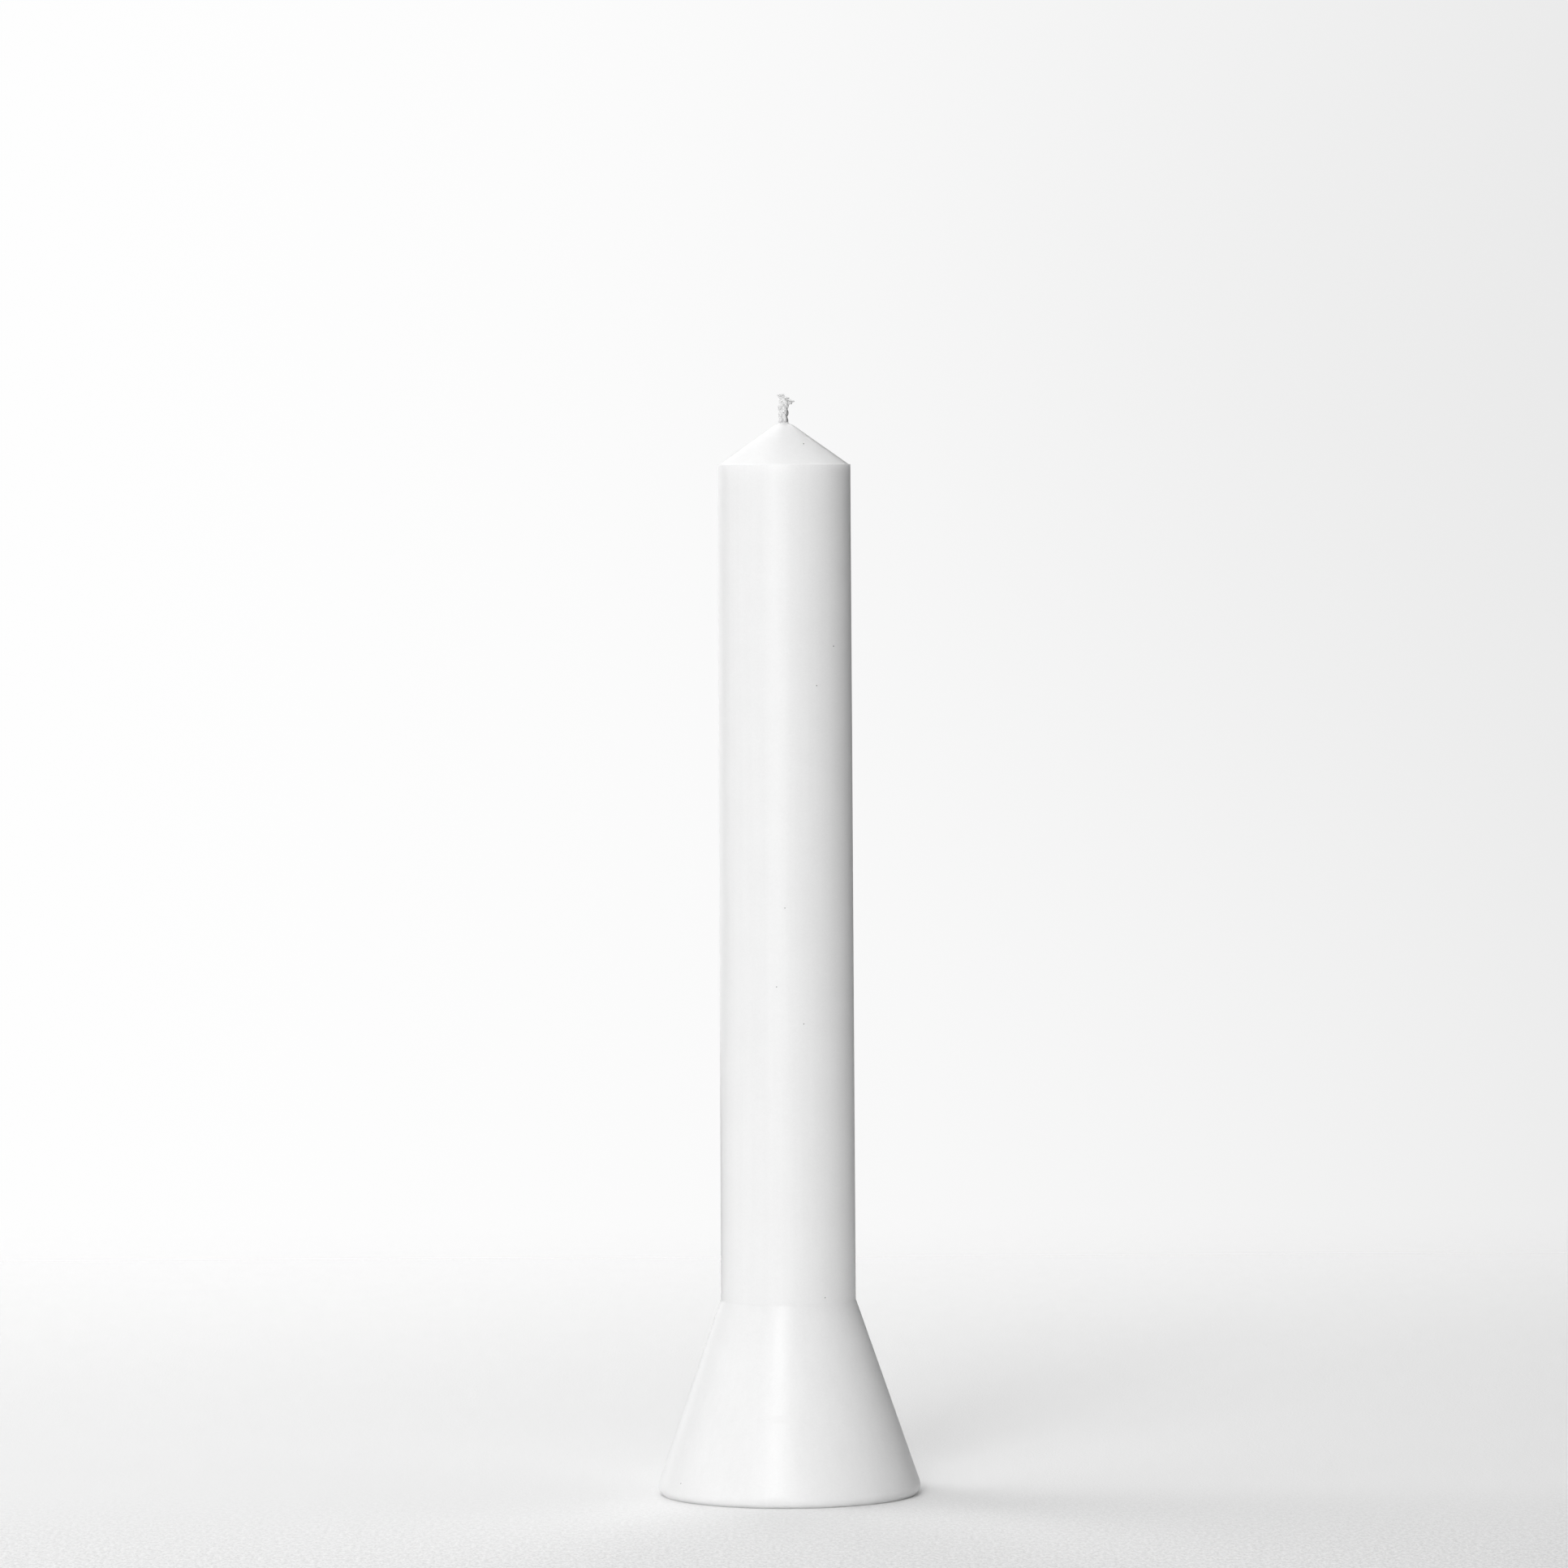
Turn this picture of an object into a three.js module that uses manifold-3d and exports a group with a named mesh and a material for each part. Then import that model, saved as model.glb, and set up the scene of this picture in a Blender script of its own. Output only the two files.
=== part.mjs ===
// A tall cast wax candle that stands on its own conical foot, with a plaited cotton wick.
//
// The wax is one casting: a flared foot, a long stem with a slight draft, and a conical tip that
// starts inside a narrow ledge, where the tip of the mould met its tube. The wick runs the whole
// height in a flat-oval channel. Inside the wax it is modelled as one solid, wick_core. Its free
// end is the three strands of the plait, cut round at the root so that the free end can bend
// from side to side without touching the wax.
//
// Millimetres, +Z up, origin at the centre of the face that the candle stands on.

import * as THREE from "three";
import { mergeVertices } from "three/addons/utils/BufferGeometryUtils.js";
import Module from "manifold-3d";

// Wax
const NECK_D = 40.0; // stem, where it meets the foot
const STEM_LENGTH = 247.6;
const STEM_DRAFT = THREE.MathUtils.degToRad(0.081); // each side's lean, which lets it out of the mould
const FOOT_HEIGHT = 58.6;
const FOOT_D = 80.6; // where the foot's side would meet the table if its edge were sharp
const FOOT_EDGE_R = 3.4; // rounding between the foot's side and the face it stands on
const LEDGE = 0.5; // flat ring between the stem's top edge and the tip
const TIP_SLOPE = THREE.MathUtils.degToRad(35.4); // the tip's side, from the horizontal
const TIP_NOSE_R = 5.8; // rounding of the tip round the wick

// Wick
const STRAND_D = 0.8;
const FREE_LENGTH = 7.8; // wick standing out of the wax
const CORE_RECESS = 0.5; // the wick's lower end, above the face the candle stands on
const PIVOT_HEIGHT = 1.0; // the bend's axis, above the wax
const CLEARANCE = 0.3; // between the wick and the wax, and between the wick's two lengths

// The plait, in strand diameters, so that its strands lie close together and never cut each other
const SWING = 1.4; // how far a strand's centre goes to each side
const DEPTH = 0.775; // how far it goes to the front and back
const PITCH = 8.75; // height of one full turn
const FRAYED_LENGTH = 1.875; // top stretch, over which a strand turns aside
const STRANDS = [
  { name: "wick_strand_1", phase: 0, shorter: 0, aside: 0, droop: 0 },
  { name: "wick_strand_2", phase: 1, shorter: 1, aside: 1.5, droop: 0.5 },
  { name: "wick_strand_3", phase: 2, shorter: 0.25, aside: -0.25, droop: 0 },
];

// Fineness
const ROUND_SIDES = 96;
const ARC_STEPS = 7;
const STRAND_SIDES = 8;
const STRAND_STEPS = 34;
const OVERSHOOT = 1; // a cutting solid runs this far past what it cuts

const neckR = NECK_D / 2;
const shoulderR = neckR - STEM_LENGTH * Math.tan(STEM_DRAFT);
const shoulderZ = FOOT_HEIGHT + STEM_LENGTH;
const tipR = shoulderR - LEDGE;
const noseTopZ = shoulderZ + tipR * Math.tan(TIP_SLOPE) - TIP_NOSE_R * (1 / Math.cos(TIP_SLOPE) - 1);
const wickWidth = (2 * SWING + 1) * STRAND_D;
const wickThickness = (2 * DEPTH + 1) * STRAND_D;
const knuckleR = wickWidth / 2; // the free end's root is round, about the bend's axis
const pivotZ = noseTopZ + PIVOT_HEIGHT;
const wickTopZ = noseTopZ + FREE_LENGTH;
const coreTopZ = pivotZ - knuckleR - CLEARANCE;

const wax = new THREE.MeshStandardMaterial({ color: 0xf1f1f0, roughness: 0.42, metalness: 0 });
const cotton = new THREE.MeshStandardMaterial({ color: 0xdededc, roughness: 0.9, metalness: 0 });

const wasm = await Module();
wasm.setup();

// A closed geometry as a solid that can be cut, and back again.
function toSolid(geometry) {
  const bare = geometry.clone();
  bare.deleteAttribute("normal");
  bare.deleteAttribute("uv");
  const merged = mergeVertices(bare, 1e-4);
  return new wasm.Manifold(
    new wasm.Mesh({
      numProp: 3,
      vertProperties: merged.attributes.position.array,
      triVerts: new Uint32Array(merged.index.array),
    }),
  );
}

function toGeometry(solid) {
  const mesh = solid.getMesh();
  const geometry = new THREE.BufferGeometry();
  geometry.setAttribute("position", new THREE.BufferAttribute(mesh.vertProperties, 3));
  geometry.setIndex(new THREE.BufferAttribute(mesh.triVerts, 1));
  return geometry;
}

function named(name, geometry, material) {
  const mesh = new THREE.Mesh(geometry, material);
  mesh.name = name;
  return mesh;
}

// Points on an arc, from one angle to another, the ends included.
function arc(centreX, centreY, radius, from, to) {
  return Array.from({ length: ARC_STEPS + 1 }, (_, i) => {
    const angle = from + ((to - from) * i) / ARC_STEPS;
    return new THREE.Vector2(centreX + radius * Math.cos(angle), centreY + radius * Math.sin(angle));
  });
}

// A flat oval as wide as the wick and as thick, grown by a gap all round.
function wickSection(gap) {
  const endR = wickThickness / 2 + gap;
  const endX = (wickWidth - wickThickness) / 2;
  const right = arc(endX, 0, endR, -Math.PI / 2, Math.PI / 2);
  const left = arc(-endX, 0, endR, Math.PI / 2, (3 * Math.PI) / 2);
  return new THREE.Shape([...right, ...left]);
}

// The wick's section from one height to another.
function wickBar(gap, fromZ, toZ) {
  const bar = new THREE.ExtrudeGeometry(wickSection(gap), { depth: toZ - fromZ, bevelEnabled: false });
  return bar.translate(0, 0, fromZ);
}

// The wax casting's outline, from the middle of its base round to the top of its tip.
function waxOutline() {
  const lean = Math.atan2(FOOT_D / 2 - neckR, FOOT_HEIGHT);
  const edgeX = FOOT_D / 2 - FOOT_EDGE_R / Math.tan((Math.PI / 2 - lean) / 2);
  const noseZ = noseTopZ - TIP_NOSE_R;
  return [
    new THREE.Vector2(0, 0),
    ...arc(edgeX, FOOT_EDGE_R, FOOT_EDGE_R, -Math.PI / 2, lean),
    new THREE.Vector2(neckR, FOOT_HEIGHT),
    new THREE.Vector2(shoulderR, shoulderZ),
    new THREE.Vector2(tipR, shoulderZ),
    ...arc(0, noseZ, TIP_NOSE_R, Math.PI / 2 - TIP_SLOPE, Math.PI / 2).slice(0, -1),
    new THREE.Vector2(0, noseTopZ),
  ];
}

function waxBody() {
  const casting = new THREE.LatheGeometry(waxOutline(), ROUND_SIDES).rotateX(Math.PI / 2);
  const channel = wickBar(CLEARANCE, -OVERSHOOT, noseTopZ + OVERSHOOT);
  return toGeometry(toSolid(casting).subtract(toSolid(channel)));
}

// The centre line of one strand of a flat plait: it crosses from side to side while it goes
// over one neighbour and under the other. Its last stretch turns aside and droops. The turns
// are counted down from the wick's top, so the frayed end keeps its shape on a longer wick.
class StrandLine extends THREE.Curve {
  constructor({ phase, shorter, aside, droop }) {
    super();
    this.turn = (phase * 2 * Math.PI) / STRANDS.length;
    this.bottomZ = pivotZ - knuckleR - STRAND_D;
    this.topZ = wickTopZ - shorter * STRAND_D;
    this.aside = aside;
    this.droop = droop;
  }

  getPoint(t) {
    const z = THREE.MathUtils.lerp(this.bottomZ, this.topZ, t);
    const angle = this.turn + (2 * Math.PI * (z - wickTopZ)) / (PITCH * STRAND_D);
    const frayed = THREE.MathUtils.smoothstep(z, this.topZ - FRAYED_LENGTH * STRAND_D, this.topZ);
    const x = SWING * Math.sin(angle) + this.aside * frayed;
    const y = DEPTH * Math.sin(2 * angle);
    return new THREE.Vector3(x * STRAND_D, y * STRAND_D, z - this.droop * frayed * STRAND_D);
  }
}

// What the free end may fill: everything above the bend's axis, and a round root below it.
function freeEndRoom() {
  const side = 2 * FREE_LENGTH;
  const above = new THREE.BoxGeometry(side, side, side).translate(0, 0, pivotZ + side / 2);
  const root = new THREE.CylinderGeometry(knuckleR, knuckleR, side, ROUND_SIDES / 2);
  return toSolid(above).add(toSolid(root.translate(0, 0, pivotZ)));
}

function strand(spec, room) {
  const section = new THREE.Shape().absarc(0, 0, STRAND_D / 2, 0, 2 * Math.PI);
  const tube = new THREE.ExtrudeGeometry(section, {
    extrudePath: new StrandLine(spec),
    steps: STRAND_STEPS,
    curveSegments: STRAND_SIDES,
  });
  return toGeometry(toSolid(tube).intersect(room));
}

function candle() {
  const room = freeEndRoom();
  const group = new THREE.Group();
  group.add(named("wax_body", waxBody(), wax));
  group.add(named("wick_core", wickBar(0, CORE_RECESS, coreTopZ), cotton));
  for (const spec of STRANDS) group.add(named(spec.name, strand(spec, room), cotton));
  return group;
}

export default candle();
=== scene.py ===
"""A tall cast wax candle on its own conical foot, with a plaited wick, on a pale studio floor.

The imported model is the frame. The wax casting, the wick inside it and the three strands of the
wick's free end are each rebuilt here as a finer piece that stands for its CAD node.
"""

import math
import random

import bmesh
import bpy
from mathutils import Matrix, Vector, noise


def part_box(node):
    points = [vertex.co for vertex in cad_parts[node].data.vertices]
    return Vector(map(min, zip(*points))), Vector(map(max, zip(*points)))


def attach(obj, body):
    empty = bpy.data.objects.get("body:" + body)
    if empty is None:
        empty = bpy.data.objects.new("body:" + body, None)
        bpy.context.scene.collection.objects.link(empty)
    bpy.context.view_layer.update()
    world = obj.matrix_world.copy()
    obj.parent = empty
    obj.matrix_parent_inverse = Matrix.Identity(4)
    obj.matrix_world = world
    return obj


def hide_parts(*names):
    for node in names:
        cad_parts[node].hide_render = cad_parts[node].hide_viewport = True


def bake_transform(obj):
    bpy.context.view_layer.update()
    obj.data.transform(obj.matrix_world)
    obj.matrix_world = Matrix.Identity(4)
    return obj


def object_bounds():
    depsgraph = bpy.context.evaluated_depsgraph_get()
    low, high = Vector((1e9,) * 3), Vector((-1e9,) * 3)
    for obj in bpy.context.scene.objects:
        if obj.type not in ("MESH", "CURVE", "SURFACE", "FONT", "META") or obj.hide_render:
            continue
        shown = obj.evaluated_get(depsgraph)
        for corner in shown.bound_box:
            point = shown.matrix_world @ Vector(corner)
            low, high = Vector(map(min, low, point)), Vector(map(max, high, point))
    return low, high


MM = 0.001

# The casting's driving sizes, in metres, in the frame of the CAD model
NECK_RADIUS = 20.0 * MM
NECK_HEIGHT = 58.6 * MM
SHOULDER_RADIUS = 19.65 * MM
SHOULDER_HEIGHT = 306.2 * MM
FOOT_SLOPE = 0.3465  # how far the foot's side runs out for each metre that it falls
FOOT_EDGE_RADIUS = 3.4 * MM
NECK_FILLET = 0.5 * MM
SHOULDER_CHAMFER = 0.12 * MM
LEDGE = 0.5 * MM
TIP_SLOPE = math.radians(35.4)
NOSE_RADIUS = 5.8 * MM
MENISCUS = 0.7 * MM  # wax that climbs the wick's root
CHANNEL_DEPTH = 8 * MM  # above this the wax grips the wick, with no gap between them
BASE_HOLLOW = 0.25 * MM  # how far the base sinks inside the ring that it stands on
STANDING_RING = 0.9  # where that ring starts, as a share of the foot's radius
CHANNEL_SHARE = 0.92  # the channel's half width, as a share of the CAD wick's
ROOT_FLATNESS = 0.82  # of the wax round the root, a little fuller than the wick
OVAL_REACH = 4 * MM  # radius at which the flat oval round the root has become a circle

# Where the foot's rounded edge meets the table: radius and height from the centre of its
# rounding and from the table, as shares of the rounding's own radius, and the angle at which
# the rounding takes over
FOOT_CONTACT = [(0.34, 0.0), (0.42, 0.025)]
FOOT_EDGE_START = -58

HOLD = 0.12 * MM  # a ring this close to each corner keeps the corner's shading crisp

# Marks in the wax's skin: height, turn from the front, half length, half width, lift, arch.
# Lengths are in millimetres and turns in degrees.
FOLDS = [
    (26.3, -4.5, 3.6, 0.5, 0.24, -0.5),
    (27.4, 1.0, 2.2, 0.45, 0.16, -0.2),
    (38.1, -1.5, 1.6, 0.45, 0.12, 0.0),
    (41.6, -4.0, 1.3, 0.45, 0.09, 0.1),
    (45.1, -1.0, 1.8, 0.45, 0.09, 0.0),
    (306.0, -10.0, 0.8, 0.25, 0.10, 0.0),
    (24.0, 118.0, 2.6, 0.35, 0.08, 0.3),
    (33.5, 205.0, 2.0, 0.30, 0.06, 0.0),
]
# Grains of dust in the wax's skin: height, turn from the front and radius, in the same units
SPECKS = [
    (312.2, 33.0, 0.19),
    (252.6, 46.5, 0.16),
    (241.1, 28.0, 0.15),
    (175.8, -1.2, 0.13),
    (152.6, -8.6, 0.14),
    (141.6, 14.5, 0.15),
    (60.6, 32.8, 0.15),
    (6.3, -57.0, 0.13),
    (284.0, 131.0, 0.15),
    (203.0, -118.0, 0.14),
    (118.0, 174.0, 0.13),
    (31.0, 96.0, 0.16),
]

NAP = 0.8 * MM  # how far the candle's foot sinks into the nap of the cloth

# The wick
STRAND_RADIUS = 0.72 * MM
SWING = 0.97 * MM  # how far a strand's centre goes to each side
DEPTH = 0.33 * MM  # how far it goes to the front and back
PLAIT_TURN = math.radians(-28)  # the plait's broad face looks to the left
LEAN = 0.12 * MM  # how far the wick stands to the left of the candle's axis
PITCH = 6.6 * MM  # height of one full turn of the plait
ROOT_WAIST = 0.82  # share of the swing that is left where the wax grips the wick
WAIST_REACH = 4.5 * MM  # height over which the plait widens again above the wax
ROOT_DEPTH = 2.5 * MM  # how far under the tip's top the free end begins
YARNS = 7  # ridges round each strand
YARN_RIDGE = 0.07  # height of a ridge, as a share of the strand's radius
YARN_PLACE = "yarn_place"  # attribute: each vertex's place in millimetres before the wick bends
YARN_TWIST = 5.0 * MM  # height of one turn of a strand's yarns about each other

# Each strand of the plait: its turn in the plait's order, how much shorter it is cut, how far its
# end goes aside and droops, the height over which it does so, and how far its end opens out. The
# one that droops most has shed its outer yarns, and stays narrow.
STRANDS = [
    {
        "phase": 0,
        "shorter": 0.1 * MM,
        "aside": 1.1 * MM,
        "droop": 1.0 * MM,
        "turn_over": 3.0 * MM,
        "flare": 0.15,
    },
    {
        "phase": 1,
        "shorter": 0.7 * MM,
        "aside": 1.4 * MM,
        "droop": 1.3 * MM,
        "turn_over": 2.8 * MM,
        "flare": 0.0,
    },
    {
        "phase": 2,
        "shorter": 0.15 * MM,
        "aside": -0.35 * MM,
        "droop": 0.0,
        "turn_over": 1.9 * MM,
        "flare": 0.15,
    },
]
FREE_STEP = 0.16 * MM  # height between a strand's rings on the free end
INNER_STEP = 0.55 * MM  # and inside the wax
FLARE_START, FLARE_LENGTH = 12, 9  # in rings: how far from its end a strand opens, and over what
# A strand's rounded end: how many steps past its last ring, and what share of the radius is left
END_CAP = [(0.5, 0.92), (0.8, 0.7), (0.95, 0.35)]

# Loose fibres. Lengths are in millimetres.
END_HAIRS, END_HAIR_LENGTH, END_HAIR_RADIUS = 560, (0.2, 0.75), 0.032 * MM
NAP_HAIRS, NAP_HAIR_LENGTH, NAP_HAIR_RADIUS = 160, (0.12, 0.35), 0.016 * MM
HAIR_STEPS = 4
HAIR_CURL = 1.1
HAIR_TAPER = 0.2  # share of its radius that a fibre loses in each step

BEAD_RADIUS = 0.26 * MM
BEAD_DEPTH = 4.7 * MM  # below the wick's top
BEAD_ASIDE = -0.05 * MM

CASTING_SIDES = 240
FOOT_RINGS = 0.45 * MM  # height between the casting's rings on its foot
STEM_RINGS = 2.4 * MM
TIP_RINGS = 0.9 * MM
BORE = 2 * MM  # an edge of the outline this close to the axis isn't divided
MERGE = 1e-7  # vertices closer than this are one

# The studio, in metres
FLOOR_RADIUS = 3.0
LAMP_DISTANCE = 1.5
LAMP_AIM = (0, 0, 0.15)
SOFT_BOXES = [  # name, azimuth and elevation in degrees, side in metres, power in watts
    ("key", -14, 33, 0.3, 4.7),
    ("front", -14, 12, 0.9, 11.2),
    ("left", -115, 36, 0.9, 6.4),
    ("left_rear", -155, 12, 0.9, 3.4),
    ("left_top", -90, 65, 0.9, 4.4),
    ("right_top", 90, 62, 0.9, 4.8),
    ("rear", 180, 46, 0.9, 6.4),
]

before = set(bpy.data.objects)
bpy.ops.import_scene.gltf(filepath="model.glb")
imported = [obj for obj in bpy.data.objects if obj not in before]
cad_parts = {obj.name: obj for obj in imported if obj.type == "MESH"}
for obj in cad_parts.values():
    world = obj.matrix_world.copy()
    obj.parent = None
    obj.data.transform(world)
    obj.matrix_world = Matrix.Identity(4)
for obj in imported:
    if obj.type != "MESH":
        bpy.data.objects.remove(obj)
cad_low, cad_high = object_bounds()
core_low, core_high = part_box("wick_core")
wick_top = cad_high.z
nose_top = SHOULDER_HEIGHT + (SHOULDER_RADIUS - LEDGE) * math.tan(TIP_SLOPE)
nose_top -= NOSE_RADIUS * (1 / math.cos(TIP_SLOPE) - 1)


# ---------------------------------------------------------------- shader maths


class Wire:
    """A socket in a node tree. Arithmetic on it adds Math nodes."""

    def __init__(self, tree, socket=None):
        self.tree = tree
        self.socket = socket

    def node(self, kind, settings=None, outlet=0, **inlets):
        """Adds a node: its settings first, then its sockets' values or links.

        An inlet is called by its name, or by its number as in i0, i1.
        """
        made = self.tree.nodes.new(kind)
        for name, value in (settings or {}).items():
            setattr(made, name, value)
        for name, value in inlets.items():
            key = int(name[1:]) if name[1:].isdigit() else name.replace("_", " ")
            if isinstance(value, Wire):
                self.tree.links.new(value.socket, made.inputs[key])
            elif value is not None:
                made.inputs[key].default_value = value
        return Wire(self.tree, made.outputs[outlet] if len(made.outputs) else None)

    def maths(self, operation, first, second=None):
        return self.node("ShaderNodeMath", {"operation": operation}, i0=first, i1=second)

    def __add__(self, other):
        return self.maths("ADD", self, other)

    __radd__ = __add__

    def __sub__(self, other):
        return self.maths("SUBTRACT", self, other)

    def __rsub__(self, other):
        return self.maths("SUBTRACT", other, self)

    def __mul__(self, other):
        return self.maths("MULTIPLY", self, other)

    __rmul__ = __mul__

    def between(self, low, high):
        """0 below low, 1 above high, with a soft rise between."""
        settings = {"interpolation_type": "SMOOTHSTEP"}
        return self.node("ShaderNodeMapRange", settings, i0=self, i1=low, i2=high)

    def tint(self, first, second):
        """A colour between two, by this value."""
        return self.node("ShaderNodeMix", {"data_type": "RGBA"}, 2, i0=self, i6=first, i7=second)


def grey(level):
    return (level, level, level, 1)


def new_material(name):
    """A material with one Principled shader, and a wire to start from."""
    material = bpy.data.materials.new(name)
    material.use_nodes = True
    tree = material.node_tree
    shader = tree.nodes["Principled BSDF"]
    return material, tree, shader, Wire(tree)


def place(start, scale=(1, 1, 1)):
    """Object coordinates in millimetres, stretched by a scale for each axis."""
    coordinates = start.node("ShaderNodeTexCoord", outlet="Object")
    return start.node("ShaderNodeMapping", i0=coordinates, i3=tuple(s / MM for s in scale))


def cloud(at, scale, detail=2.0, roughness=0.5):
    """Soft noise, from 0 to 1."""
    return at.node("ShaderNodeTexNoise", i0=at, Scale=scale, Detail=detail, Roughness=roughness)


def part_of(vector, axis):
    """One of a vector's three numbers: 0 for x, 1 for y, 2 for z."""
    return vector.node("ShaderNodeSeparateXYZ", outlet=axis, i0=vector)


def feed(tree, shader, **wires):
    """Links wires to a shader's sockets, by name."""
    for name, wire in wires.items():
        tree.links.new(wire.socket, shader.inputs[name.replace("_", " ")])


def set_inputs(shader, **values):
    for name, value in values.items():
        shader.inputs[name.replace("_", " ")].default_value = value


def wax_material():
    """Hard white stearin: a satin skin over wax that light sinks into."""
    material, tree, shader, start = new_material("stearin_wax")
    at = place(start)
    mottle = cloud(at, 0.09, 4.0)
    drawn = cloud(place(start, (1, 1, 0.02)), 0.55, 3.0)  # streaks along the mould's wall
    crystals = cloud(at, 2.0, 3.0, 0.6)
    chill = cloud(place(start, (0.12, 0.12, 1.0)), 0.9, 3.0, 0.6)  # level, short marks
    depth = (mottle * 0.2 + drawn * 0.25 + crystals * 0.55).between(0.3, 0.7)
    satin = 0.25 + 0.06 * mottle + 0.06 * crystals
    height = chill * 0.6 + crystals * 0.25 + drawn * 0.15
    bump = start.node("ShaderNodeBump", Strength=0.25, Distance=0.08 * MM, Height=height)
    whiteness = depth.tint(grey(0.885), grey(0.925))
    feed(tree, shader, Base_Color=whiteness, Roughness=satin, Normal=bump)
    set_inputs(
        shader,
        Subsurface_Weight=0.9,
        Subsurface_Scale=4.5 * MM,
        Subsurface_Radius=(1.0, 1.0, 1.0),
        Specular_IOR_Level=0.5,
        IOR=1.33,
    )
    return material


def cotton_material(name, paleness):
    """Cotton: fine twisted fibres, patchily darker where the wax has soaked in, with painted shade
    down its right side and its frayed end painted paler.
    """
    material, tree, shader, start = new_material(name)
    at = start.node("ShaderNodeAttribute", {"attribute_name": YARN_PLACE}, "Vector")
    soaked = cloud(at, 0.8, 3.0)
    fibres = cloud(start.node("ShaderNodeMapping", i0=at, i3=(1.0, 1.0, 0.35)), 9.0, 3.0, 0.65)
    shade = (soaked * 0.6 + fibres * 0.4).between(0.3, 0.7)
    below_top = wick_top / MM - part_of(at, 2)
    # Painted shade: the wick's right side, below its frayed end, is painted darker, as if turned
    # away from the light.
    painted_shade_right = part_of(at, 0).between(0.35, 1.0) * below_top.between(3.42, 4.82)  # the right side
    # Painted light: the frayed end is painted paler, lifting the shade among its strands and
    # fibres.
    painted_light_top = below_top.between(3.12, 1.62)  # the frayed end
    tone = shade * 0.10 + paleness + 0.05 * painted_light_top - 0.42 * painted_shade_right
    colour = start.node("ShaderNodeCombineColor", i0=tone, i1=tone, i2=tone)
    bump = start.node("ShaderNodeBump", Strength=0.6, Distance=0.04 * MM, Height=fibres)
    feed(tree, shader, Base_Color=colour, Roughness=0.6 + 0.25 * fibres, Normal=bump)
    set_inputs(
        shader,
        Subsurface_Weight=0.6,
        Subsurface_Scale=0.8 * MM,
        Subsurface_Radius=(1.0, 1.0, 1.0),
        Specular_IOR_Level=0.2,
    )
    return material


def drop_material():
    """A drop of the same wax, too small for light to sink into."""
    material, tree, shader, start = new_material("wax_drop")
    shade = cloud(place(start), 3.0)
    whiteness = shade.tint(grey(0.93), grey(0.98))
    feed(tree, shader, Base_Color=whiteness, Roughness=0.15 + 0.1 * shade)
    return material


def speck_material():
    """Soot-grey dust, caught in the wax while it set."""
    material, tree, shader, start = new_material("dust_in_wax")
    shade = cloud(place(start), 4.0)
    soot = shade.tint(grey(0.02), grey(0.09))
    feed(tree, shader, Base_Color=soot, Roughness=0.6 + 0.2 * shade)
    return material


# ---------------------------------------------------------------- shapes


def arc(centre_r, centre_z, radius, start, end, steps):
    """Points on an arc of an outline, from one angle in degrees to another, ends included."""
    angles = [math.radians(start + (end - start) * i / steps) for i in range(steps + 1)]
    return [(centre_r + radius * math.cos(a), centre_z + radius * math.sin(a)) for a in angles]


def new_piece(name, mesh, material):
    """An object at the origin from a bmesh, with its normals facing out."""
    data = bpy.data.meshes.new(name)
    bmesh.ops.recalc_face_normals(mesh, faces=mesh.faces)
    mesh.to_mesh(data)
    mesh.free()
    data.materials.append(material)
    piece = bpy.data.objects.new(name, data)
    bpy.context.scene.collection.objects.link(piece)
    data.polygons.foreach_set("use_smooth", [True] * len(data.polygons))
    return piece


def held(outline):
    """The outline with a point close to each end of its long straight runs."""
    points = []
    for here, there in zip(outline, outline[1:]):
        points.append(here)
        run = Vector(there) - Vector(here)
        if run.length > 4 * HOLD:
            step = run.normalized() * HOLD
            points += [tuple(Vector(here) + step), tuple(Vector(there) - step)]
    return points + outline[-1:]


def ring_spacing(height):
    """How far apart the casting's rings are at a height: close on the foot, wide on the stem."""
    if height < NECK_HEIGHT - MM:
        return FOOT_RINGS
    if height < SHOULDER_HEIGHT - MM:
        return STEM_RINGS
    return TIP_RINGS


def spun(outline, sides):
    """An outline from the axis round to the axis, with its long edges divided, spun about it."""
    mesh = bmesh.new()
    points = [mesh.verts.new((r, 0, z)) for r, z in held(outline)]
    for first, second in zip(points, points[1:]):
        mesh.edges.new((first, second))
    for edge in list(mesh.edges):
        cuts = int(edge.calc_length() / ring_spacing(edge.verts[0].co.z))
        if cuts and max(v.co.x for v in edge.verts) >= BORE:
            bmesh.ops.subdivide_edges(mesh, edges=[edge], cuts=cuts)
    bmesh.ops.spin(
        mesh,
        geom=mesh.verts[:] + mesh.edges[:],
        cent=(0, 0, 0),
        axis=(0, 0, 1),
        angle=math.tau,
        steps=sides,
        use_merge=True,
    )
    bmesh.ops.remove_doubles(mesh, verts=mesh.verts, dist=MERGE)
    return mesh


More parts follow.
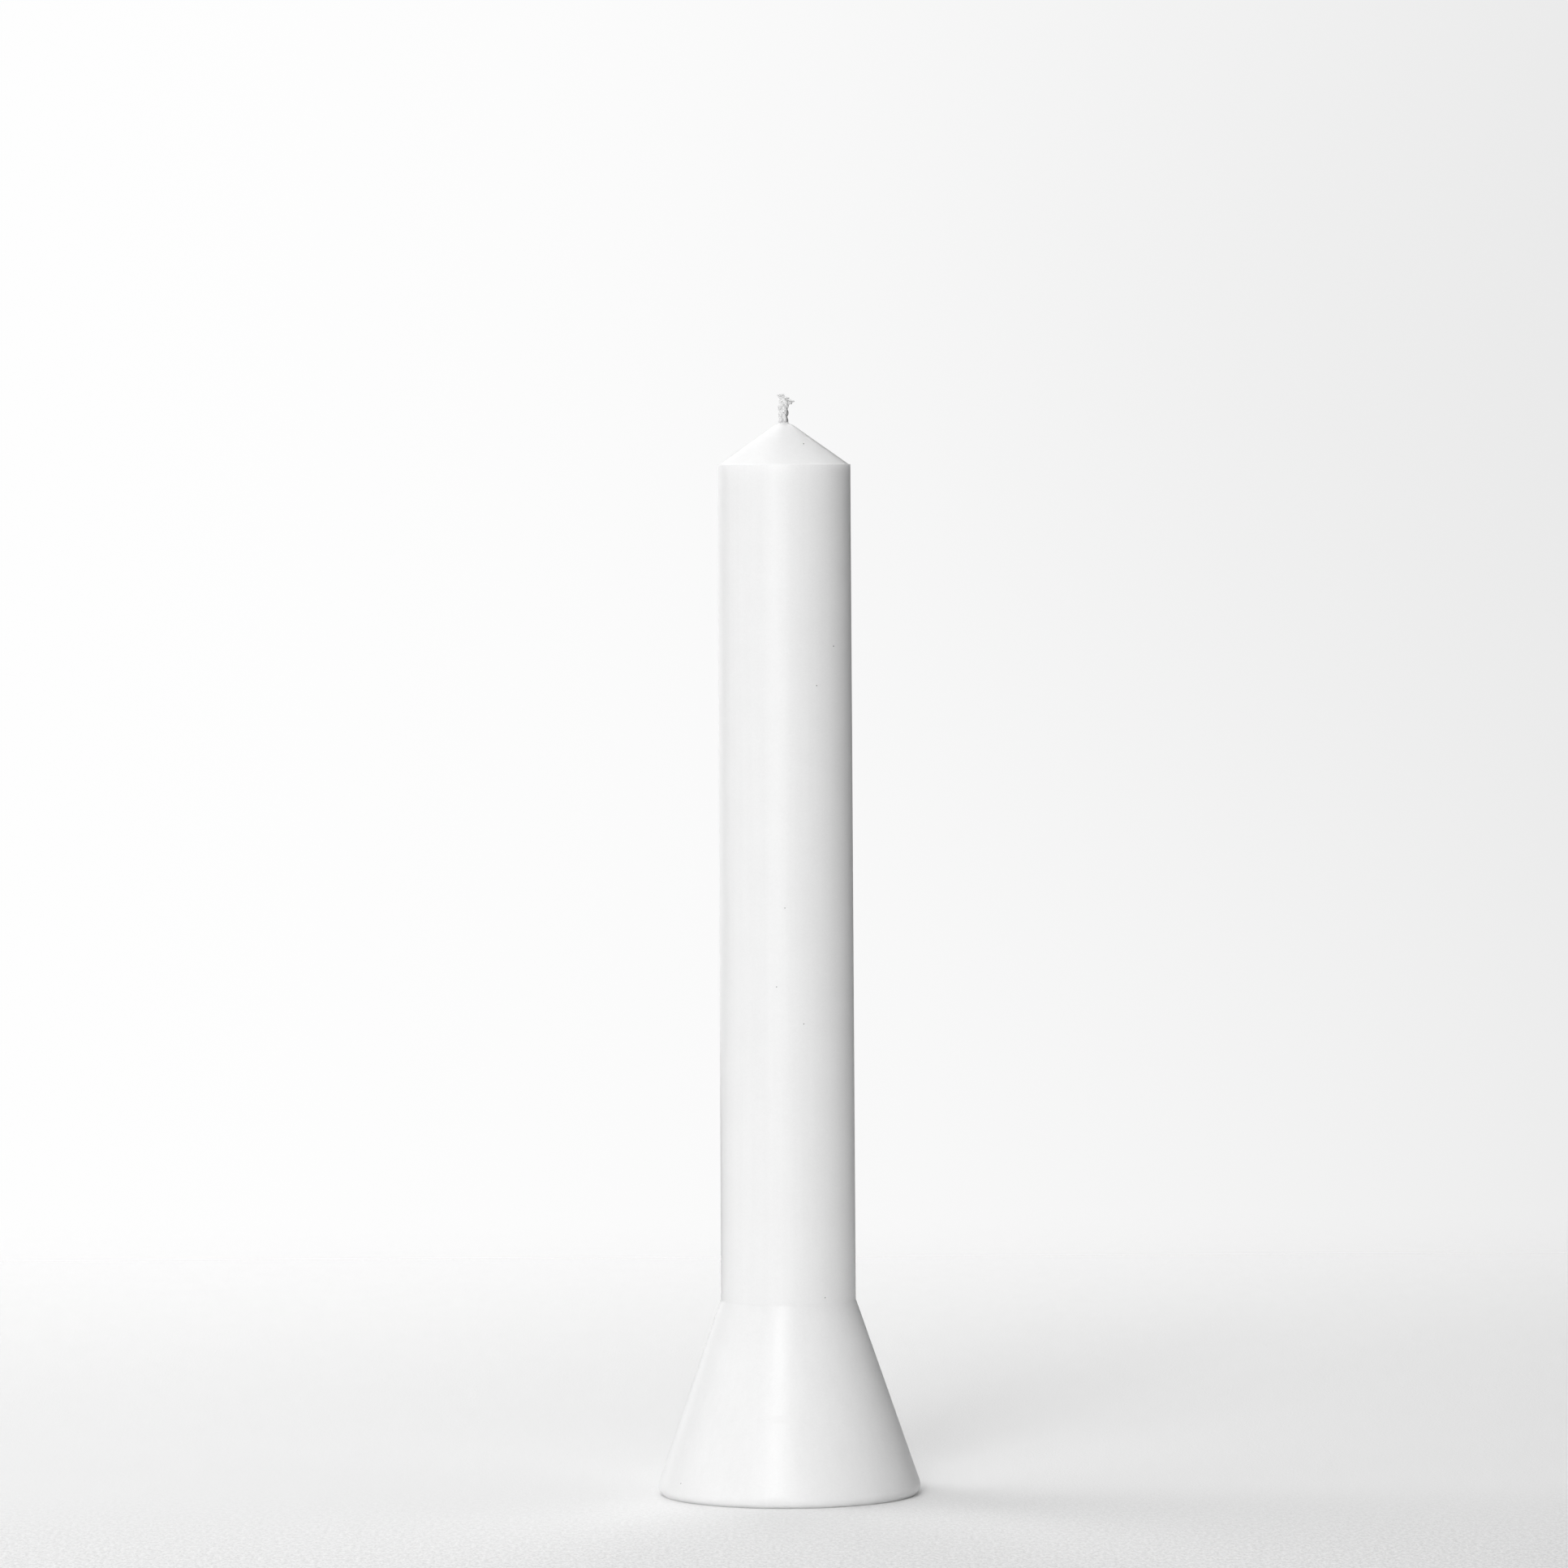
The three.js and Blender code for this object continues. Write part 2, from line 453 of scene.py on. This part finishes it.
def casting_outline(channel):
    """The casting's outline, from inside the wick's channel, under the base, to its root on top."""
    lean = math.degrees(math.atan(FOOT_SLOPE))
    sharp_foot = NECK_RADIUS + FOOT_SLOPE * NECK_HEIGHT
    rounding = FOOT_EDGE_RADIUS
    edge = sharp_foot - rounding / math.tan(math.radians(90 - lean) / 2)
    neck_tangent = NECK_FILLET / 2
    tip_radius = SHOULDER_RADIUS - LEDGE
    nose_centre = nose_top - NOSE_RADIUS
    root = channel + MENISCUS
    root_slope = math.degrees(math.asin(root / NOSE_RADIUS))
    root_height = nose_centre + math.sqrt(NOSE_RADIUS**2 - root**2)
    tip_start, tip_end = 90 - math.degrees(TIP_SLOPE), 90 - root_slope - 3
    chamfer = SHOULDER_CHAMFER
    return [
        (0, CHANNEL_DEPTH),
        (channel, CHANNEL_DEPTH),
        (channel, BASE_HOLLOW),
        (8 * channel, BASE_HOLLOW),
        (STANDING_RING * edge, 0),
        *[(edge + out * rounding, up * rounding) for out, up in FOOT_CONTACT],
        *arc(edge, rounding, rounding, FOOT_EDGE_START, lean, 9),
        (NECK_RADIUS + FOOT_SLOPE * neck_tangent, NECK_HEIGHT - neck_tangent),
        (NECK_RADIUS, NECK_HEIGHT + neck_tangent),
        (SHOULDER_RADIUS, SHOULDER_HEIGHT - chamfer),
        (SHOULDER_RADIUS - 0.5 * chamfer, SHOULDER_HEIGHT - 0.1 * chamfer),
        (SHOULDER_RADIUS - chamfer, SHOULDER_HEIGHT),
        (tip_radius, SHOULDER_HEIGHT),
        *arc(0, nose_centre, NOSE_RADIUS, tip_start, tip_end, 5),
        *arc(root, root_height + MENISCUS, MENISCUS, -90 - root_slope, -180, 5),
        (0, root_height + MENISCUS),
    ]


def ripple(point, stretch, size, lift):
    """Smooth noise at a point: the size of its waves, stretched by each axis, and their lift."""
    return noise.noise(Vector([c * s for c, s in zip(point, stretch)]) / size) * lift


def skin_relief(point):
    """How far the casting's surface stands off its ideal shape at a point."""
    slow = ripple(point, (1, 1, 1), 22 * MM, 0.01 * MM)
    drawn = ripple(point, (1, 1, 0.08), 3.0 * MM, 0.006 * MM)  # lines up the mould's wall
    chill = ripple(point, (0.12, 0.12, 1), 0.8 * MM, 0.03 * MM)  # level marks, near the base only
    relief = slow + drawn + chill * max(0.0, 1 - point.z / (16 * MM))
    turn = math.atan2(point.x, -point.y)
    radius = point.xy.length
    for height, middle, length, width, lift, arch in FOLDS:
        rise = (point.z - height * MM) / (width * MM)
        if abs(rise) < 8:
            gap = math.remainder(turn - math.radians(middle), math.tau)
            across = gap * radius / (length * MM)
            along = rise - arch / width * across * across
            relief += lift * MM * math.exp(-across * across - along * along)
    return relief


def casting(material):
    """The wax: foot, stem, ledge and tip in one, open below at the wick's flat-oval channel."""
    channel = (core_high.x - core_low.x) / 2 * CHANNEL_SHARE
    mesh = spun(casting_outline(channel), CASTING_SIDES)
    bmesh.ops.recalc_face_normals(mesh, faces=mesh.faces)
    mesh.normal_update()
    skin = [v for v in mesh.verts if v.co.xy.length > OVAL_REACH and v.co.z > FOOT_EDGE_RADIUS]
    moves = [v.normal * skin_relief(v.co) for v in skin]
    for vertex, move in zip(skin, moves):
        vertex.co += move
    for vertex in mesh.verts:
        out = (vertex.co.xy.length - channel) / (OVAL_REACH - channel)
        vertex.co.y *= ROOT_FLATNESS + (1 - ROOT_FLATNESS) * min(1.0, max(0.0, out))
    return new_piece("wax_casting", mesh, material)


def smooth(value):
    """0 below 0, 1 above 1, with a soft rise between."""
    value = max(0.0, min(1.0, value))
    return value * value * (3 - 2 * value)


def strand_centre(strand, height):
    """The plait's path: side to side, over one neighbour and under the other."""
    angle = strand["phase"] * math.tau / len(STRANDS) + math.tau * (height - wick_top) / PITCH
    waist = ROOT_WAIST + (1 - ROOT_WAIST) * smooth((height - nose_top) / WAIST_REACH)
    top = wick_top - strand["shorter"]
    turned = max(0.0, (height - top) / strand["turn_over"] + 1) ** 2
    across = Vector((SWING * waist * math.sin(angle), DEPTH * math.sin(2 * angle), 0))
    across.rotate(Matrix.Rotation(PLAIT_TURN, 3, "Z"))
    aside, droop = strand["aside"] * turned, strand["droop"] * turned
    return across + Vector((aside - LEAN, 0, height - droop))


def yarn_section():
    """The outline of a strand: a ring of yarns, one unit in radius, as a closed flat curve."""
    curve = bpy.data.curves.new("yarn_section", "CURVE")
    curve.dimensions = "2D"
    spline = curve.splines.new("POLY")
    corners = 4 * YARNS
    spline.points.add(corners - 1)
    for i, knot in enumerate(spline.points):
        angle = math.tau * i / corners
        reach = 1 - YARN_RIDGE + YARN_RIDGE * math.cos(YARNS * angle)
        knot.co = (reach * math.cos(angle), reach * math.sin(angle), 0, 1)
    spline.use_cyclic_u = True
    section = bpy.data.objects.new("yarn_section", curve)
    bpy.context.scene.collection.objects.link(section)
    return section


def threads(name, paths, radii, material, section=None, twist=0.0):
    """Threads along lists of points, with a radius for each point, as one mesh."""
    curve = bpy.data.curves.new(name, "CURVE")
    curve.dimensions = "3D"
    curve.use_fill_caps = True
    if section:
        curve.bevel_mode = "OBJECT"
        curve.bevel_object = section
    else:
        curve.bevel_depth = 1.0
        curve.bevel_resolution = 0
    for points, sizes in zip(paths, radii):
        spline = curve.splines.new("POLY")
        spline.points.add(len(points) - 1)
        for knot, point, size in zip(spline.points, points, sizes):
            knot.co = (*point, 1)
            knot.radius = size
            knot.tilt = twist * point.z
    lines = bpy.data.objects.new(name + "_lines", curve)
    bpy.context.scene.collection.objects.link(lines)
    graph = bpy.context.evaluated_depsgraph_get()
    data = bpy.data.meshes.new_from_object(lines.evaluated_get(graph))
    bpy.data.objects.remove(lines)
    data.name = name
    mesh = bmesh.new()
    mesh.from_mesh(data)
    bmesh.ops.remove_doubles(mesh, verts=mesh.verts, dist=MERGE)
    bpy.data.meshes.remove(data)
    piece = new_piece(name, mesh, material)
    places = piece.data.attributes.new(YARN_PLACE, "FLOAT_VECTOR", "POINT")
    for vertex, place_of in zip(piece.data.vertices, places.data):
        place_of.vector = vertex.co / MM
    return piece


def strand_path(strand, low, high, step):
    """Points on a strand's centre line from one height to another, about a step apart."""
    steps = round((high - low) / step)
    return [strand_centre(strand, low + (high - low) * i / steps) for i in range(steps + 1)]


def free_strand(number, material, section):
    """One strand of the free end, from inside the wax to its cut top, where it opens out."""
    strand = STRANDS[number - 1]
    high = wick_top - strand["shorter"]
    path = strand_path(strand, nose_top - ROOT_DEPTH, high, FREE_STEP)
    shares = [1.0] * len(path) + [share for _, share in END_CAP]
    path += [path[-1] + (path[-1] - path[-2]) * beyond for beyond, _ in END_CAP]
    sizes = []
    for i, share in enumerate(shares):
        flare = strand["flare"] * smooth((i - len(path) + FLARE_START) / FLARE_LENGTH)
        sizes.append(STRAND_RADIUS * (1 + flare) * share)
    name = f"plait_strand_{number}"
    return threads(name, [path], [sizes], material, section, math.tau / YARN_TWIST)


def wick_in_wax(material, section):
    """The same plait from the base of the candle to the tip."""
    paths = []
    for strand in STRANDS:
        straight = {**strand, "aside": 0.0, "droop": 0.0}
        paths.append(strand_path(straight, core_low.z, nose_top - ROOT_DEPTH, INNER_STEP))
    radii = [[STRAND_RADIUS] * len(path) for path in paths]
    return threads("wick_in_wax", paths, radii, material, section, math.tau / YARN_TWIST)


def hair(dice, start, lean, length, radius):
    """A curled fibre: its points, and its radius at each."""
    curl = Vector([dice.uniform(-1, 1) for _ in range(3)]) * HAIR_CURL
    points = [start]
    for _ in range(HAIR_STEPS):
        lean = (lean + curl / HAIR_STEPS).normalized()
        points.append(points[-1] + lean * length / HAIR_STEPS)
    return points, [radius * (1 - HAIR_TAPER * i) for i in range(HAIR_STEPS + 1)]


def frayed_fibres(material):
    """Loose cotton fibres at the strands' cut ends, and a shorter nap along the wick."""
    dice = random.Random(7)
    hairs = []
    for strand in STRANDS:
        top = wick_top - strand["shorter"]
        heading = (strand_centre(strand, top) - strand_centre(strand, top - 0.2 * MM)).normalized()
        for _ in range(END_HAIRS):
            around, out = dice.uniform(0, math.tau), math.sqrt(dice.uniform(0, 1))
            aside = Vector((math.cos(around), math.sin(around), 0.25)) * out
            start = strand_centre(strand, top - dice.uniform(0, 0.5) * MM)
            start += aside * STRAND_RADIUS * 1.1
            length = dice.uniform(*END_HAIR_LENGTH) * MM
            lean = (heading + 1.3 * aside).normalized()
            hairs.append(hair(dice, start, lean, length, END_HAIR_RADIUS))
        for _ in range(NAP_HAIRS):
            height = dice.uniform(nose_top + 0.5 * MM, top - 0.5 * MM)
            around = dice.uniform(0, math.tau)
            aside = Vector((math.cos(around), math.sin(around), dice.uniform(-0.3, 0.9)))
            start = strand_centre(strand, height) + aside.normalized() * STRAND_RADIUS * 0.85
            length = dice.uniform(*NAP_HAIR_LENGTH) * MM
            hairs.append(hair(dice, start, aside.normalized(), length, NAP_HAIR_RADIUS))
    paths, radii = zip(*hairs)
    return threads("frayed_fibres", paths, radii, material)


def wax_bead(material, strands):
    """A drop of wax on the front of the wick."""
    at = Vector((BEAD_ASIDE, 0, wick_top - BEAD_DEPTH))
    near = [
        v.co.y
        for strand in strands
        for v in strand.data.vertices
        if abs(v.co.x - at.x) < 0.25 * MM and abs(v.co.z - at.z) < 0.3 * MM
    ]
    mesh = bmesh.new()
    bmesh.ops.create_icosphere(mesh, subdivisions=3, radius=BEAD_RADIUS)
    for vertex in mesh.verts:
        fullness = 1.0 - 0.3 * vertex.co.z / BEAD_RADIUS  # wider below, as a drop is
        vertex.co.x *= fullness
        vertex.co.y *= fullness
    bmesh.ops.scale(mesh, verts=mesh.verts, vec=(1.0, 0.8, 1.5))
    at.y = min(near) - 0.1 * MM
    bmesh.ops.translate(mesh, verts=mesh.verts, vec=at)
    return new_piece("wax_bead", mesh, material)


def side_radius(height):
    """The casting's radius at a height, on its foot, its stem or its tip."""
    if height < NECK_HEIGHT:
        return NECK_RADIUS + FOOT_SLOPE * (NECK_HEIGHT - height)
    if height < SHOULDER_HEIGHT:
        along = (height - NECK_HEIGHT) / (SHOULDER_HEIGHT - NECK_HEIGHT)
        return NECK_RADIUS + (SHOULDER_RADIUS - NECK_RADIUS) * along
    return SHOULDER_RADIUS - LEDGE - (height - SHOULDER_HEIGHT) / math.tan(TIP_SLOPE)


def dust_specks(material):
    """Grains of dust set in the wax's skin."""
    mesh = bmesh.new()
    for height, turn, size in SPECKS:
        grain = bmesh.ops.create_icosphere(mesh, subdivisions=2, radius=size * MM)
        for vertex in grain["verts"]:
            lump = noise.noise(vertex.co / (0.09 * MM) + Vector((height, turn, 0)))
            vertex.co *= 1 + 0.3 * lump
        radius = side_radius(height * MM)
        angle = math.radians(turn)
        spot = Vector((radius * math.sin(angle), -radius * math.cos(angle), height * MM))
        bmesh.ops.translate(mesh, verts=grain["verts"], vec=spot)
    return new_piece("dust_specks", mesh, material)


# ---------------------------------------------------------------- the studio


def floor():
    """A pale cloth sheet that fades into the backdrop with distance."""
    mesh = bmesh.new()
    bmesh.ops.create_circle(mesh, cap_ends=True, segments=64, radius=FLOOR_RADIUS)
    material, tree, shader, start = new_material("studio_cloth")
    coordinates = start.node("ShaderNodeTexCoord", outlet="Object")
    grain = cloud(coordinates, 1500.0, 2.0, 0.6)
    fibre = cloud(start.node("ShaderNodeMapping", i0=coordinates, i3=(1.0, 0.4, 1.0)), 800.0, 2.0)
    weave = grain * 0.6 + fibre * 0.4
    depth = part_of(coordinates, 1)
    contrast = 0.85 * depth.between(0.05, -0.18)  # the weave is plainest in front
    # Painted light: the cloth is painted paler behind the candle and darker towards the front,
    # where less light falls.
    lift = 0.3 * depth.between(-0.24, 0.06)
    shade = 0.35 + contrast * (weave.between(0.36, 0.64) - 0.5) + lift
    bump = start.node("ShaderNodeBump", Strength=0.8, Distance=0.3 * MM, Height=weave)
    feed(tree, shader, Base_Color=shade.tint(grey(0.70), grey(1.0)), Normal=bump)
    set_inputs(
        shader,
        Roughness=0.9,
        Subsurface_Weight=0.8,
        Subsurface_Scale=5 * MM,
        Subsurface_Radius=(1.0, 1.0, 1.0),
    )
    away = depth.between(0.10, 0.95)
    radius = start.node("ShaderNodeVectorMath", {"operation": "LENGTH"}, "Value", i0=coordinates)
    aside = radius.between(0.5, 1.6)
    fade = start.maths("MAXIMUM", away, aside)
    clear = start.node("ShaderNodeBsdfTransparent")
    mixed = start.node("ShaderNodeMixShader", i0=fade, i2=clear)
    tree.links.new(shader.outputs[0], mixed.socket.node.inputs[1])
    tree.links.new(mixed.socket, tree.nodes["Material Output"].inputs["Surface"])
    piece = new_piece("studio_floor", mesh, material)
    piece.location.z = NAP
    return piece


def studio_world():
    """A pale backdrop, brighter on the left, which lights nothing: the soft boxes do that."""
    world = bpy.data.worlds.new("studio")
    bpy.context.scene.world = world
    world.use_nodes = True
    tree = world.node_tree
    start = Wire(tree)
    direction = start.node("ShaderNodeTexCoord", outlet="Generated")
    sideways = start.maths("MAXIMUM", part_of(direction, 0), -0.1)
    sideways = start.maths("MINIMUM", sideways, 0.12)
    # Painted shadow: the backdrop is painted a little darker beside the candle.
    patch_centre = (0.06, 1.0, 0.015)
    off_patch = start.node(
        "ShaderNodeVectorMath", {"operation": "DISTANCE"}, "Value", i0=direction, i1=patch_centre
    )
    painted_shadow = 0.03 * off_patch.between(0.10, 0.0)  # a little darker beside the candle
    level = 0.953 - 0.775 * sideways - 4.0 * sideways * sideways - painted_shadow
    colour = start.node("ShaderNodeCombineColor", i0=level, i1=level, i2=level)
    seen = start.node("ShaderNodeLightPath", outlet="Is Camera Ray")
    feed(tree, tree.nodes["Background"], Color=colour, Strength=0.02 + 0.98 * seen)
    return world


def soft_box(name, azimuth, elevation, size, power):
    """A square soft box that faces the candle. Azimuth 0 is the front, and 90 the right."""
    light = bpy.data.lights.new(name, "AREA")
    light.shape = "SQUARE"
    light.size = size
    light.energy = power
    lamp = bpy.data.objects.new(name, light)
    bpy.context.scene.collection.objects.link(lamp)
    a, e = math.radians(azimuth), math.radians(elevation)
    away = Vector((math.sin(a) * math.cos(e), -math.cos(a) * math.cos(e), math.sin(e)))
    lamp.location = Vector(LAMP_AIM) + away * LAMP_DISTANCE
    lamp.rotation_mode = "QUATERNION"
    lamp.rotation_quaternion = away.to_track_quat("Z", "Y")
    lamp.visible_camera = False
    return lamp


def camera():
    """A long lens in front of the candle, a little above its shoulder's height."""
    data = bpy.data.cameras.new("camera")
    data.sensor_width = 36.0
    data.lens = 188.6
    data.clip_start, data.clip_end = 0.1, 50.0
    lens = bpy.data.objects.new("camera", data)
    bpy.context.scene.collection.objects.link(lens)
    distance, height = 2.432, 0.297
    pitch, yaw, roll = 0.0351, 0.0002, -0.0054
    lens.matrix_world = (
        Matrix.Translation((0, -distance, height))
        @ Matrix.Rotation(yaw, 4, "Z")
        @ Matrix.Rotation(math.pi / 2 - pitch, 4, "X")
        @ Matrix.Rotation(roll, 4, "Z")
    )
    bpy.context.scene.camera = lens
    return lens


# ---------------------------------------------------------------- the whole

camera()
studio_world()
floor()
for box in SOFT_BOXES:
    soft_box(*box)
bpy.context.scene.view_settings.view_transform = "Standard"

wax = wax_material()
cotton = cotton_material("waxed_cotton", 0.74)

body = casting(wax)
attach(body, "candle")
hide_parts("wax_body")

specks = dust_specks(speck_material())
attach(specks, "candle")

section = yarn_section()
inner = wick_in_wax(cotton, section)
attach(inner, "candle")
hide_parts("wick_core")

strands = [free_strand(number, cotton, section) for number in (1, 2, 3)]
for number, strand in enumerate(strands, start=1):
    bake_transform(strand)
    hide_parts(f"wick_strand_{number}")
bpy.data.objects.remove(section)

# The loose fibres get a paler copy of the cotton: painted light that lifts the shade of their thin,
# self-shadowed threads.
fibres = frayed_fibres(cotton_material("loose_cotton", 0.84))
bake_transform(fibres)

bead = wax_bead(drop_material(), strands)
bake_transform(bead)
